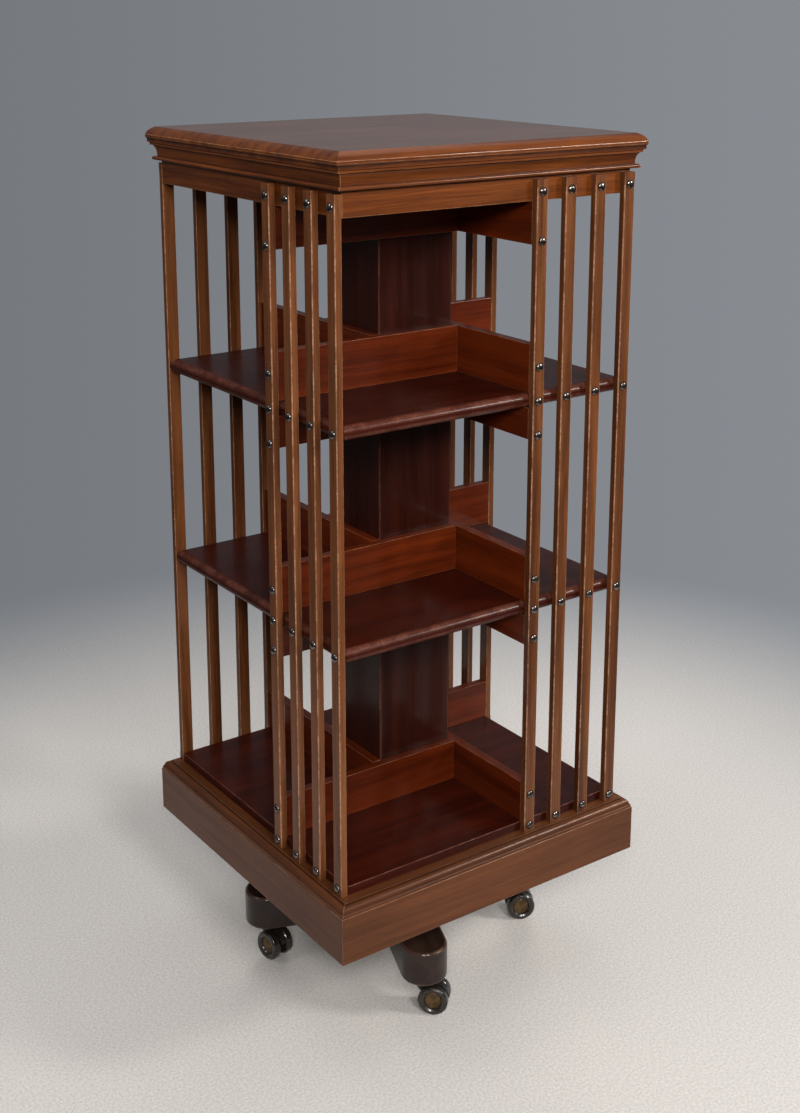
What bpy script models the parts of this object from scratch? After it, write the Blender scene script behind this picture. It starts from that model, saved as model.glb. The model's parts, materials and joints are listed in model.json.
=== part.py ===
"""Revolving bookcase: a slatted three-tier carcass that turns on a fixed post, cross base and castors.

Metres, +Z up. The origin is on the floor, on the turning axis. The front face looks along -Y; the
other three faces are the front face turned by quarter turns about Z. Seen from outside, each face
has an open book bay on the left and four upright slats on the right.
"""
import math

import bpy
import bmesh
from mathutils import Matrix, Vector

# Driving dimensions
GAP = 0.0003                    # clearance kept where two solids touch
PLINTH_UNDERSIDE = 0.1830       # floor to the lowest edge of the turning carcass

SLAT_FACE = 0.2450              # half width over the slats
BOARD_HALF = 0.2345             # half width of shelves and frieze, which the slats are screwed to
COLUMN_HALF = 0.0625            # half width of the hollow centre column
COLUMN_WALL = 0.0120
SHELF_THICK = 0.0200

# Heights above the plinth's underside
PLINTH_TOP = 0.0685
FLOOR_BOTTOM = 0.0832           # the bottom shelf, thinner than the two above and square at the edge
FLOOR_TOP = 0.0965
MIDDLE_SHELF_Z = 0.4235         # mid thickness
UPPER_SHELF_Z = 0.7211
FRIEZE_BOTTOM = 0.9895
SUB_TOP_UNDERSIDE = FRIEZE_BOTTOM
SLAT_TOP = 1.0185
CORNICE_BOTTOM = 1.0230
TOP_BOARD_BOTTOM = 1.0485
TOP_BOARD_TOP = 1.0702

SLAT_WIDTH = 0.0183
SLAT_CENTRES = (0.0714, 0.1208, 0.1730, 0.2253)
RAIL_THICK = 0.0137
BOOK_STOP_HEIGHT = 0.0670
LOWER_BOOK_STOP_HEIGHT = 0.0615
HANGING_RAIL_HEIGHT = 0.0440
TOP_HANGING_RAIL_BOTTOM = 0.9320

PLINTH_HALF = 0.2598
PLINTH_THICK = 0.0180
FRIEZE_THICK = 0.0160
SUB_TOP_THICK = 0.0160
TOP_HALF = 0.2520

# Cross base
ARM_BOTTOM = 0.0550
ARM_TOP = 0.1085
ARM_HALF_WIDTH = 0.0340
ARM_REACH = 0.1955              # axis to the centre of each rounded end, where a castor turns
ARM_ANGLE = math.radians(249.0)  # direction of the arm that points to the front
ARM_ARRIS = 0.0050

# Post and bearings
POST_RADIUS = 0.0320
POST_TOP = 0.9275               # above the plinth's underside
PIN_RADIUS = 0.0080
PIN_EMBED = 0.0600
PIN_RISE = 0.0260
COLLAR_RADIUS = 0.0440

# Twin-wheel castors
WHEEL_RADIUS = 0.0220
WHEEL_WIDTH = 0.0130
WHEEL_SPACE = 0.0115            # clear space between the two wheels
AXLE_RADIUS = 0.0040
TRAIL = 0.0160                  # swivel axis to axle
STEM_RADIUS = 0.0050
STEM_LENGTH = 0.0360
CASTOR_NAMES = ("front", "right", "back", "left")
CASTOR_TRAIL_ANGLES = tuple(math.radians(a) for a in (-46.2, -28.8, -65.0, -80.6))

FACES = ("front", "right", "back", "left")
QUARTER = math.pi / 2
ROUND_STEPS = 32


def clear_scene():
    for obj in list(bpy.data.objects):
        bpy.data.objects.remove(obj, do_unlink=True)


def new_collection(name):
    collection = bpy.data.collections.new(name)
    bpy.context.scene.collection.children.link(collection)
    return collection


def make_material(name, colour, roughness, metallic=0.0):
    material = bpy.data.materials.new(name)
    material.use_nodes = True
    shader = material.node_tree.nodes["Principled BSDF"]
    shader.inputs["Base Color"].default_value = (*colour, 1.0)
    shader.inputs["Roughness"].default_value = roughness
    shader.inputs["Metallic"].default_value = metallic
    return material


clear_scene()
PARTS = new_collection("revolving_bookcase")
CUTTERS = new_collection("cutters")

WOODS = {
    "top": (0.33, 0.12, 0.045),
    "shelf": (0.13, 0.030, 0.015),
    "rail": (0.26, 0.065, 0.022),
    "slat": (0.29, 0.110, 0.050),
    "plinth": (0.24, 0.095, 0.045),
    "column": (0.12, 0.030, 0.018),
    "cross": (0.030, 0.014, 0.010),
    "post": (0.20, 0.080, 0.040),
}
METALS = {
    "iron": (0.10, 0.10, 0.10),
    "steel": (0.55, 0.55, 0.56),
    "brass": (0.60, 0.42, 0.18),
}
CASTOR_PLASTICS = {
    "wheel": (0.035, 0.025, 0.018),
    "hood": (0.018, 0.015, 0.013),
}


def finish_for(name, kind):
    """A material of the part's own, named after it."""
    if kind in WOODS:
        return make_material(name + "_wood", WOODS[kind], 0.30)
    if kind in METALS:
        return make_material(name + "_metal", METALS[kind], 0.35, 1.0)
    return make_material(name + "_plastic", CASTOR_PLASTICS[kind], 0.25)


def add_object(name, data, kind, parent=None, location=(0, 0, 0), rotation=(0, 0, 0)):
    obj = bpy.data.objects.new(name, data)
    PARTS.objects.link(obj)
    if not data.materials:
        data.materials.append(finish_for(data.name, kind))
    obj.parent = parent
    obj.location = location
    obj.rotation_euler = rotation
    return obj


def add_empty(name, location=(0, 0, 0), parent=None, rotation=(0, 0, 0)):
    empty = bpy.data.objects.new(name, None)
    empty.empty_display_size = 0.03
    PARTS.objects.link(empty)
    empty.parent = parent
    empty.location = location
    empty.rotation_euler = rotation
    return empty


def box_mesh(name, low, high):
    """A box between two corners."""
    low = Vector(low)
    high = Vector(high)
    mesh = bpy.data.meshes.new(name)
    bm = bmesh.new()
    bmesh.ops.create_cube(bm, size=1.0)
    bmesh.ops.transform(bm, matrix=Matrix.Diagonal((*(high - low), 1.0)), verts=bm.verts)
    bmesh.ops.translate(bm, vec=(low + high) / 2, verts=bm.verts)
    bm.to_mesh(mesh)
    bm.free()
    return mesh


def profile_mesh(name, points, closed):
    """A chain of edges in the XZ plane, for the Screw modifier."""
    mesh = bpy.data.meshes.new(name)
    edges = [(i, i + 1) for i in range(len(points) - 1)]
    if closed:
        edges.append((len(points) - 1, 0))
    mesh.from_pydata([(r, 0.0, z) for r, z in points], edges, [])
    return mesh


def add_screw(obj, steps, smooth):
    screw = obj.modifiers.new("turning", "SCREW")
    screw.steps = steps
    screw.render_steps = steps
    screw.use_merge_vertices = True
    screw.merge_threshold = 0.0001
    screw.use_smooth_shade = smooth
    return screw


def turned(name, profile, kind, closed=False, steps=ROUND_STEPS, **place):
    """A round piece from a profile of (radius, height) points, outer side from top to bottom."""
    obj = add_object(name, profile_mesh(name, profile, closed), kind, **place)
    add_screw(obj, steps, True)
    return obj


def square_turned(name, profile, kind, closed=False, **place):
    """A square piece with mitred mouldings: four steps of a turning, from (half width, height)."""
    corner = [(half * math.sqrt(2), z) for half, z in profile]
    mesh = profile_mesh(name, corner, closed)
    mesh.transform(Matrix.Rotation(math.pi / 4, 4, "Z"))
    obj = add_object(name, mesh, kind, **place)
    add_screw(obj, 4, False)
    return obj


def outline_mesh(name, outlines, low, high, arris=0.0, resolution=2):
    """Flat closed outlines, the second one a hole, filled and given thickness from low to high."""
    curve = bpy.data.curves.new(name, "CURVE")
    curve.dimensions = "2D"
    curve.fill_mode = "BOTH"
    curve.extrude = (high - low) / 2 - arris
    curve.bevel_depth = arris
    curve.bevel_resolution = resolution
    curve.offset = -arris
    for outline in outlines:
        spline = curve.splines.new("POLY")
        spline.points.add(len(outline) - 1)
        for point, (x, y) in zip(spline.points, outline):
            point.co = (x, y, 0.0, 1.0)
        spline.use_cyclic_u = True
    guide = bpy.data.objects.new(name + "_outline", curve)
    CUTTERS.objects.link(guide)
    evaluated = guide.evaluated_get(bpy.context.evaluated_depsgraph_get())
    mesh = bpy.data.meshes.new_from_object(evaluated)
    mesh.name = name
    bm = bmesh.new()
    bm.from_mesh(mesh)
    bmesh.ops.remove_doubles(bm, verts=bm.verts, dist=0.00005)
    bmesh.ops.translate(bm, vec=(0, 0, (low + high) / 2), verts=bm.verts)
    bm.to_mesh(mesh)
    bm.free()
    bpy.data.objects.remove(guide, do_unlink=True)
    return mesh


def arc(centre, radius, start, end, count):
    """Points along an arc, angles in degrees."""
    points = []
    for i in range(count + 1):
        angle = math.radians(start + (end - start) * i / count)
        points.append((centre[0] + radius * math.cos(angle), centre[1] + radius * math.sin(angle)))
    return points


def combine(target, tool_mesh, operation, matrix=Matrix.Identity(4)):
    """Join a hidden tool shape to a part, or cut it away."""
    tool = bpy.data.objects.new(target.name + "_tool", tool_mesh)
    CUTTERS.objects.link(tool)
    tool.matrix_world = matrix
    tool.hide_render = True
    tool.display_type = "WIRE"
    modifier = target.modifiers.new(operation.lower(), "BOOLEAN")
    modifier.operation = operation
    modifier.object = tool
    modifier.solver = "EXACT"


def cylinder_mesh(name, radius, low, high, steps=ROUND_STEPS):
    mesh = bpy.data.meshes.new(name)
    bm = bmesh.new()
    bmesh.ops.create_cone(bm, cap_ends=True, segments=steps, radius1=radius, radius2=radius,
                          depth=high - low)
    bmesh.ops.translate(bm, vec=(0, 0, (low + high) / 2), verts=bm.verts)
    bm.to_mesh(mesh)
    bm.free()
    return mesh


def quarter_turns(points):
    """The points followed by their copies turned 90, 180 and 270 degrees about Z."""
    result = list(points)
    turned_points = list(points)
    for _ in range(3):
        turned_points = [(-y, x) for x, y in turned_points]
        result += turned_points
    return result


def shelf_profile(bottom, top, hole_half):
    """A shelf's section: square hole for the column, rounded outer edge."""
    nose = (top - bottom) / 2
    centre = (BOARD_HALF - nose, (top + bottom) / 2)
    edge = [(centre[0] + nose * math.cos(a), centre[1] + nose * math.sin(a))
            for a in (math.radians(90 - 22.5 * i) for i in range(9))]
    return [(hole_half, top)] + edge + [(hole_half, bottom)]


def build_cross_and_post():
    """The fixed cross of two half-lapped arms, the post screwed to it and its pivot pin."""
    middle = (ARM_BOTTOM + ARM_TOP) / 2
    outline = arc((ARM_REACH, 0), ARM_HALF_WIDTH, -90, 90, 14)
    outline += arc((-ARM_REACH, 0), ARM_HALF_WIDTH, 90, 270, 14)
    lap = ARM_HALF_WIDTH + GAP
    beyond = 0.05
    socket_top = ARM_BOTTOM + STEM_LENGTH + 0.002
    laps = {
        "cross_arm_long": (0.0, middle - GAP / 2, middle + beyond),
        "cross_arm_short": (QUARTER, middle - beyond, middle + GAP / 2),
    }
    for name, (turn, low, high) in laps.items():
        mesh = outline_mesh(name, [outline], ARM_BOTTOM, ARM_TOP, ARM_ARRIS)
        arm = add_object(name, mesh, "cross", rotation=(0, 0, ARM_ANGLE + turn))
        place = Matrix.Rotation(ARM_ANGLE + turn, 4, "Z")
        notch = box_mesh(name + "_lap", (-lap, -0.06, low), (lap, 0.06, high))
        combine(arm, notch, "DIFFERENCE", place)
        for side in (-1, 1):
            socket = cylinder_mesh(name + "_socket", STEM_RADIUS + GAP, ARM_BOTTOM - 0.01, socket_top, 16)
            combine(arm, socket, "DIFFERENCE", place @ Matrix.Translation((side * ARM_REACH, 0, 0)))

    flange_bottom = ARM_TOP + GAP
    flange_top = flange_bottom + 0.007
    sleeve_top = flange_bottom + 0.036
    bore = POST_RADIUS + GAP
    turned("post_flange", [
        (bore, sleeve_top), (0.0385, sleeve_top), (0.0400, sleeve_top - 0.002),
        (0.0420, flange_top + 0.004), (0.0480, flange_top), (0.0620, flange_top),
        (0.0620, flange_bottom), (bore, flange_bottom)], "iron", closed=True)

    post_top = PLINTH_UNDERSIDE + POST_TOP
    hole = PIN_RADIUS + GAP
    turned("post", [
        (0, post_top - PIN_EMBED), (hole, post_top - PIN_EMBED), (hole, post_top),
        (POST_RADIUS - 0.003, post_top), (POST_RADIUS, post_top - 0.003),
        (POST_RADIUS, flange_bottom), (0, flange_bottom)], "post")
    pin_top = post_top + PIN_RISE
    turned("pivot_pin", [
        (0, pin_top), (0.004, pin_top - 0.0008), (0.007, pin_top - 0.003),
        (PIN_RADIUS, pin_top - 0.006), (PIN_RADIUS, post_top - PIN_EMBED + GAP),
        (0, post_top - PIN_EMBED + GAP)], "steel", steps=24)


def build_castor(name, index):
    """One twin-wheel castor. Its swivel axis is at the centre of an arm's rounded end."""
    direction = ARM_ANGLE + QUARTER * index
    foot = (ARM_REACH * math.cos(direction), ARM_REACH * math.sin(direction), 0.0)
    swivel = add_empty(f"castor_{name}_swivel_axis", foot,
                       rotation=(0, 0, CASTOR_TRAIL_ANGLES[index]))
    housing_bottom = 2 * WHEEL_RADIUS + 0.0020
    housing_top = ARM_BOTTOM - GAP
    web_half = WHEEL_SPACE / 2 - GAP
    axle_at = (TRAIL, WHEEL_RADIUS)
    web = [(-0.0100, housing_top - 0.004), (-0.0100, 0.0380)]
    web += arc(axle_at, 0.0120, 200, 360, 10)
    web += arc(axle_at, WHEEL_RADIUS + 0.0008, 22, 90, 7)
    web += [(0.0100, housing_top - 0.004)]
    hood_mesh = outline_mesh(f"castor_{name}_hood", [web], -web_half, web_half)
    hood_mesh.transform(Matrix.Rotation(QUARTER, 4, "X"))
    hood = add_object(f"castor_{name}_hood", hood_mesh, "hood", parent=swivel)
    place = Matrix.Translation(foot) @ Matrix.Rotation(CASTOR_TRAIL_ANGLES[index], 4, "Z")
    combine(hood, cylinder_mesh("housing", 0.0125, housing_bottom, housing_top, 24), "UNION", place)
    combine(hood, cylinder_mesh("stem", STEM_RADIUS, housing_top - 0.005, ARM_BOTTOM + STEM_LENGTH, 16),
            "UNION", place)
    axle_place = Matrix.Translation((TRAIL, 0, WHEEL_RADIUS)) @ Matrix.Rotation(QUARTER, 4, "X")
    combine(hood, cylinder_mesh("axle_hole", AXLE_RADIUS + GAP, -0.03, 0.03, 20), "DIFFERENCE",
            place @ axle_place)

    half = WHEEL_WIDTH / 2
    bore = AXLE_RADIUS + GAP
    bore_end = 0.0020
    wheel_profile = [
        (0, 0.0052), (0.0090, 0.0047), (0.0132, 0.0034), (0.0150, 0.0036), (0.0160, 0.0058),
        (0.0190, half), (0.0210, half - 0.0008), (WHEEL_RADIUS, half - 0.0030),
        (WHEEL_RADIUS, -half + 0.0025), (0.0205, -half), (bore, -half), (bore, bore_end),
        (0, bore_end)]
    axle_end = WHEEL_SPACE / 2 + half + bore_end - GAP
    turned(f"castor_{name}_axle", [
        (0, axle_end), (AXLE_RADIUS, axle_end), (AXLE_RADIUS, -axle_end), (0, -axle_end)],
        "steel", steps=20, parent=swivel, location=(TRAIL, 0, WHEEL_RADIUS),
        rotation=(QUARTER, 0, 0))
    offset = (WHEEL_SPACE + WHEEL_WIDTH) / 2
    for label, side in (("outer", -1), ("inner", 1)):
        turned(f"castor_{name}_wheel_{label}", wheel_profile, "wheel", steps=28, parent=swivel,
               location=(TRAIL, side * offset, WHEEL_RADIUS), rotation=(-side * QUARTER, 0, 0))


def build_boards(carcass):
    """Shelves, column, frieze, cornice and top: everything of the carcass that is square."""
    hole = COLUMN_HALF + GAP
    for name, level in (("upper_shelf", UPPER_SHELF_Z), ("middle_shelf", MIDDLE_SHELF_Z)):
        bottom = level - SHELF_THICK / 2
        profile = shelf_profile(bottom, bottom + SHELF_THICK, hole)
        square_turned(name, profile, "shelf", closed=True, parent=carcass)

    arris = 0.0008
    lower = square_turned("bottom_shelf", [
        (0, FLOOR_TOP), (BOARD_HALF - arris, FLOOR_TOP), (BOARD_HALF, FLOOR_TOP - arris),
        (BOARD_HALF, FLOOR_BOTTOM), (0, FLOOR_BOTTOM)], "shelf", parent=carcass)
    lift = Matrix.Translation((0, 0, PLINTH_UNDERSIDE))
    combine(lower, cylinder_mesh("collar_hole", COLLAR_RADIUS + GAP, 0.0, 0.2), "DIFFERENCE", lift)

    column_bottom = FLOOR_TOP + GAP
    column_top = SUB_TOP_UNDERSIDE - GAP
    inner = COLUMN_HALF - COLUMN_WALL
    square_turned("column", [
        (inner, column_top), (COLUMN_HALF, column_top), (COLUMN_HALF, column_bottom),
        (inner, column_bottom)], "column", closed=True, parent=carcass)

    frieze_top = CORNICE_BOTTOM - GAP
    frieze_inner = BOARD_HALF - FRIEZE_THICK
    square_turned("frieze", [
        (frieze_inner, frieze_top), (BOARD_HALF, frieze_top), (BOARD_HALF, FRIEZE_BOTTOM + 0.001),
        (BOARD_HALF - 0.001, FRIEZE_BOTTOM), (frieze_inner, FRIEZE_BOTTOM)],
        "top", closed=True, parent=carcass)
    sub_top_half = frieze_inner - GAP
    square_turned("sub_top", [
        (0, SUB_TOP_UNDERSIDE + SUB_TOP_THICK), (sub_top_half, SUB_TOP_UNDERSIDE + SUB_TOP_THICK),
        (sub_top_half, SUB_TOP_UNDERSIDE), (0, SUB_TOP_UNDERSIDE)], "shelf", parent=carcass)

    bead = 0.0027
    bead_centre = (0.2423, CORNICE_BOTTOM + bead)
    cove_top = TOP_BOARD_BOTTOM - 0.0040
    cove_bottom = CORNICE_BOTTOM + 0.0068
    cove_depth = 0.0062
    cove = [(0.2392 + cove_depth * (1 - math.cos(t)),
             cove_bottom + (cove_top - cove_bottom) * math.sin(t))
            for t in (math.radians(18 * i) for i in range(5, -1, -1))]
    cornice = [(0.2050, TOP_BOARD_BOTTOM - GAP), (0.2468, TOP_BOARD_BOTTOM - GAP), (0.2468, cove_top)]
    cornice += cove
    cornice += [(0.2392, CORNICE_BOTTOM + 2 * bead)]
    cornice += arc(bead_centre, bead, 90, -90, 6)
    cornice += [(0.2050, CORNICE_BOTTOM)]
    square_turned("cornice", cornice, "top", closed=True, parent=carcass)

    edge_low = TOP_BOARD_TOP - 0.0110
    swell = 0.0009
    slope = [(0.2400 + 0.0112 * i / 6 + swell * math.sin(math.pi * i / 6),
              TOP_BOARD_TOP - 0.0095 * i / 6 + swell * math.sin(math.pi * i / 6))
             for i in range(7)]
    top = [(0, TOP_BOARD_TOP)] + slope
    top += [(TOP_HALF, edge_low), (TOP_HALF, edge_low - 0.0034), (0.2508, edge_low - 0.0052),
            (0.2495, edge_low - 0.0056), (0.2495, TOP_BOARD_BOTTOM), (0, TOP_BOARD_BOTTOM)]
    square_turned("top_board", top, "top", parent=carcass)


def build_plinth(carcass):
    """Four mitred boards around the foot, and the moulded frame between them and the shelf."""
    outer = PLINTH_HALF
    inner = PLINTH_HALF - PLINTH_THICK
    mitre = GAP / math.sqrt(2)
    board = [(-outer + mitre, -outer), (outer - mitre, -outer), (inner - mitre, -inner),
             (-inner + mitre, -inner)]
    for index, face in enumerate(FACES):
        mesh = outline_mesh(f"plinth_{face}", [board], 0.0, PLINTH_TOP)
        add_object(f"plinth_{face}", mesh, "plinth", parent=carcass, rotation=(0, 0, QUARTER * index))

    seat = FLOOR_BOTTOM - GAP
    step = seat - 0.0022
    foot = PLINTH_TOP + GAP
    curve_foot = foot + 0.0030
    ovolo = [(0.2500 + 0.0068 * math.sin(t), curve_foot + (step - curve_foot) * math.cos(t))
             for t in (math.radians(18 * i) for i in range(6))]
    profile = [(0.2150, seat), (0.2480, seat), (0.2480, step)] + ovolo
    profile += [(0.2586, curve_foot), (0.2586, foot), (0.2150, foot)]
    square_turned("base_moulding", profile, "plinth", closed=True, parent=carcass)


def build_rails(carcass):
    """Upright partition rails: a pinwheel of four round the column, low ones and hanging ones."""
    near = COLUMN_HALF + GAP
    far = near + RAIL_THICK - GAP
    end = BOARD_HALF - GAP
    outline = quarter_turns([(near, -far), (near, -end), (far, -end)])
    hole = quarter_turns([(near, -near)])
    half_shelf = SHELF_THICK / 2
    tiers = (
        ("upper", UPPER_SHELF_Z + half_shelf, SUB_TOP_UNDERSIDE, BOOK_STOP_HEIGHT),
        ("middle", MIDDLE_SHELF_Z + half_shelf, UPPER_SHELF_Z - half_shelf, BOOK_STOP_HEIGHT),
        ("lower", FLOOR_TOP, MIDDLE_SHELF_Z - half_shelf, LOWER_BOOK_STOP_HEIGHT),
    )
    for tier, floor, ceiling, height in tiers:
        name = f"book_stop_rails_{tier}"
        stop = outline_mesh(name, [outline, hole], floor + GAP, floor + GAP + height)
        add_object(name, stop, "rail", parent=carcass)
        top = ceiling - GAP
        bottom = TOP_HANGING_RAIL_BOTTOM if tier == "upper" else top - HANGING_RAIL_HEIGHT
        name = f"hanging_rails_{tier}"
        hanging = outline_mesh(name, [outline, hole], bottom, top)
        add_object(name, hanging, "rail", parent=carcass)


def build_slats(carcass):
    """Sixteen upright slats screwed to the outside of frieze, shelves and rails."""
    half = SLAT_WIDTH / 2
    mesh = box_mesh("slat", (-half, -SLAT_FACE, FLOOR_BOTTOM), (half, -BOARD_HALF - GAP, SLAT_TOP))
    for index, face in enumerate(FACES):
        for number, centre in enumerate(SLAT_CENTRES, start=1):
            turn = Matrix.Rotation(QUARTER * index, 4, "Z")
            slat = add_object(f"slat_{face}_{number}", mesh, "slat", parent=carcass,
                              location=turn @ Vector((centre, 0, 0)),
                              rotation=(0, 0, QUARTER * index))
            chamfer = slat.modifiers.new("chamfer", "BEVEL")
            chamfer.width = 0.0022
            chamfer.segments = 2
            chamfer.limit_method = "ANGLE"


def build_bearings(carcass):
    """The cup that the carcass hangs on, and the collar that keeps it upright round the post."""
    cup_top = SUB_TOP_UNDERSIDE - GAP
    blind = POST_TOP + PIN_RISE + GAP
    mouth = POST_TOP + 0.0060
    bore = PIN_RADIUS + GAP
    turned("pivot_cup", [
        (0, cup_top), (0.0460, cup_top), (0.0460, cup_top - 0.005), (0.0240, cup_top - 0.005),
        (0.0200, cup_top - 0.010), (0.0180, mouth + 0.002), (0.0165, mouth), (bore, mouth), (bore, blind),
        (0, blind)], "brass", parent=carcass)
    inner = POST_RADIUS + GAP
    turned("guide_collar", [
        (inner, FLOOR_TOP), (COLLAR_RADIUS, FLOOR_TOP),
        (COLLAR_RADIUS, FLOOR_BOTTOM - GAP), (0.0580, FLOOR_BOTTOM - GAP),
        (0.0580, FLOOR_BOTTOM - 0.010), (inner, FLOOR_BOTTOM - 0.010)],
        "brass", closed=True, parent=carcass)


build_cross_and_post()
for castor_index, castor_name in enumerate(CASTOR_NAMES):
    build_castor(castor_name, castor_index)
carcass_axis = add_empty("carcass_axis", (0, 0, PLINTH_UNDERSIDE))
build_boards(carcass_axis)
build_plinth(carcass_axis)
build_rails(carcass_axis)
build_slats(carcass_axis)
build_bearings(carcass_axis)
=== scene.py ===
# %% [markdown]
# # A revolving bookcase in polished mahogany
# The real object is a square three-tier carcass with slatted sides. It hangs on a fixed post and turns on
# a cross base with twin-wheel castors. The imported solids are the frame: they carry the sizes and the
# joints. This lesson builds the visible boards, mouldings, slats, screws and castors around them, each one
# as a joiner would cut it, so that the finish can follow every board's own grain and edges.

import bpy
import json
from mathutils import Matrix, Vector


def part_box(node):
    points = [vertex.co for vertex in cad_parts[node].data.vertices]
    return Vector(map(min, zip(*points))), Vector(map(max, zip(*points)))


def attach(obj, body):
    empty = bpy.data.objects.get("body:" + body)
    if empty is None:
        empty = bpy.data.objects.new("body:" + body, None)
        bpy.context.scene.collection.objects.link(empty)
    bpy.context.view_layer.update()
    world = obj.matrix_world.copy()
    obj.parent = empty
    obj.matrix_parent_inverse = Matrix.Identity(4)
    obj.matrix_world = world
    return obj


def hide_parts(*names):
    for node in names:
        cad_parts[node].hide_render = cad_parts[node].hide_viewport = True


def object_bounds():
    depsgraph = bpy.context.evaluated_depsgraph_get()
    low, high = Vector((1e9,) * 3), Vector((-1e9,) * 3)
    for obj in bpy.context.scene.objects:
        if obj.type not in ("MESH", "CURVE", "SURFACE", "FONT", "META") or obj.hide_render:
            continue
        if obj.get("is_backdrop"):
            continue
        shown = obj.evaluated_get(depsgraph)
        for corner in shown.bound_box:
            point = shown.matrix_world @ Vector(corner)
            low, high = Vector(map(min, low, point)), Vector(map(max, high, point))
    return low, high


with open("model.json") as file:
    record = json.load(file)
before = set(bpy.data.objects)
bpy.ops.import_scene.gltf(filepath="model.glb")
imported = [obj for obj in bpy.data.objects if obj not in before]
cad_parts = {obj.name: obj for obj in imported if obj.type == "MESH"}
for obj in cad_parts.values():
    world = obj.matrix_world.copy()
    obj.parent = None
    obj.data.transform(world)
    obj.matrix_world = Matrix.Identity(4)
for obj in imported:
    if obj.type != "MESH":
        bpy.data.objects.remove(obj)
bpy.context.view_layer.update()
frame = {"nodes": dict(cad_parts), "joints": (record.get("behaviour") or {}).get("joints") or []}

# %% Modules and the names of the faces
import json
import math
import random

import bmesh
import bpy
from mathutils import Matrix, Vector

QUARTER = math.pi / 2
FACES = ("front", "right", "back", "left")
TIERS = ("upper", "middle", "lower")
JOINTS = {joint["name"]: joint for joint in frame["joints"]}

# %% [markdown]
# ## Camera
# The bookcase is seen from a little above its top and from the left of its front, with upright lines kept
# upright. A view camera does that by sliding its lens down instead of tilting more, and here the camera's
# vertical shift does the same, together with a small downward tilt.

# %% Camera
camera_data = bpy.data.cameras.new("camera")
camera_data.lens = 50.264
camera_data.sensor_width = 36.0
camera_data.shift_y = -0.1541
camera_data.clip_start = 0.05
camera_data.clip_end = 120.0
camera = bpy.data.objects.new("camera", camera_data)
camera.location = (-1.2483, -1.7865, 1.4195)
camera.rotation_euler = (math.radians(90.0 - 13.704), 0.0, math.radians(-35.308))
bpy.context.scene.collection.objects.link(camera)
bpy.context.scene.camera = camera
print("camera at", tuple(camera.location))

# %% [markdown]
# ## Light
# A studio lights furniture with softboxes: two close together on the left of the camera and one on the
# right, so every polished screw head shows three small highlights. The front face looks at all of them
# and the left face only grazes two, which makes it the darker one. A weak lamp at the side lifts the left
# face a little, a broad one overhead stands for the ceiling, and a low one behind, which the camera and
# the polish don't see, lights the two far faces.

# %% Softboxes
def softbox(name, place, aim, width, height, watts, colour):
    """A rectangular area light turned towards a point."""
    data = bpy.data.lights.new(name, "AREA")
    data.shape = "RECTANGLE"
    data.size = width
    data.size_y = height
    data.energy = watts
    data.color = colour
    lamp = bpy.data.objects.new(name, data)
    lamp.location = place
    lamp.rotation_euler = (Vector(aim) - Vector(place)).to_track_quat("-Z", "Y").to_euler()
    bpy.context.scene.collection.objects.link(lamp)
    return lamp


MIDDLE_OF_CARCASS = (0.0, 0.0, 0.70)
WARM_WHITE = (1.0, 0.965, 0.92)
softbox("softbox_left", (-1.95, -2.75, 2.35), MIDDLE_OF_CARCASS, 0.75, 0.75, 60.0, WARM_WHITE)
softbox("softbox_left_near", (-0.85, -3.15, 2.45), MIDDLE_OF_CARCASS, 0.75, 0.75, 60.0, WARM_WHITE)
softbox("softbox_right", (2.45, -2.75, 2.35), MIDDLE_OF_CARCASS, 0.75, 0.75, 75.0, WARM_WHITE)
softbox("softbox_side", (-1.85, 0.45, 2.30), (-0.24, 0.0, 1.15), 0.60, 0.60, 7.0, WARM_WHITE)
softbox("softbox_overhead", (0.2, 0.3, 3.6), MIDDLE_OF_CARCASS, 3.2, 3.2, 30.0, (0.93, 0.96, 1.0))
fill = softbox("softbox_behind", (2.30, 2.30, 1.00), MIDDLE_OF_CARCASS, 1.60, 1.60, 55.0, WARM_WHITE)
fill.visible_camera = False
fill.visible_glossy = False

# %% [markdown]
# ## Small tools for shader nodes
# A material is a graph. Writing each node with its settings and its inputs on one line keeps a long graph
# readable, and an input can then be either a number or another node's output.

# %% Node helpers
def add(tree, kind, values, **settings):
    """A node of this kind; each value is a number, or an output that gets linked."""
    made = tree.nodes.new("ShaderNode" + kind)
    for key, value in settings.items():
        setattr(made, key, value)
    for key, value in values.items():
        if isinstance(value, bpy.types.NodeSocket):
            tree.links.new(value, made.inputs[key])
        else:
            made.inputs[key].default_value = value
    return made


def calc(tree, operation, first, second=0.0, third=0.0):
    """One step of arithmetic on two or three values."""
    return add(tree, "Math", {0: first, 1: second, 2: third}, operation=operation).outputs[0]


def remap(tree, value, low, high, to_low=0.0, to_high=1.0):
    """Stretch a range of values to another, softly and without going past its ends."""
    values = {"Value": value, "From Min": low, "From Max": high, "To Min": to_low, "To Max": to_high}
    return add(tree, "MapRange", values, interpolation_type="SMOOTHSTEP").outputs["Result"]


def mix_colour(tree, factor, first, second, mode="MIX"):
    """Two colours mixed by a factor."""
    values = {0: factor, 6: first, 7: second}
    return add(tree, "Mix", values, data_type="RGBA", blend_type=mode).outputs[2]


def stretch(tree, place, across, along):
    """Coordinates for a pattern that runs along local Z."""
    values = {0: place, 1: (across, across, along)}
    return add(tree, "VectorMath", values, operation="MULTIPLY").outputs[0]


def noise(tree, place, scale=1.0, detail=3.0, roughness=0.55):
    """Soft random values round 0.5."""
    values = {"Vector": place, "Scale": scale, "Detail": detail, "Roughness": roughness}
    return add(tree, "TexNoise", values).outputs["Fac"]


helpers = (add, calc, remap, mix_colour, stretch, noise)
print("helpers:", [helper.__name__ for helper in helpers])

# %% Group helpers

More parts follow.
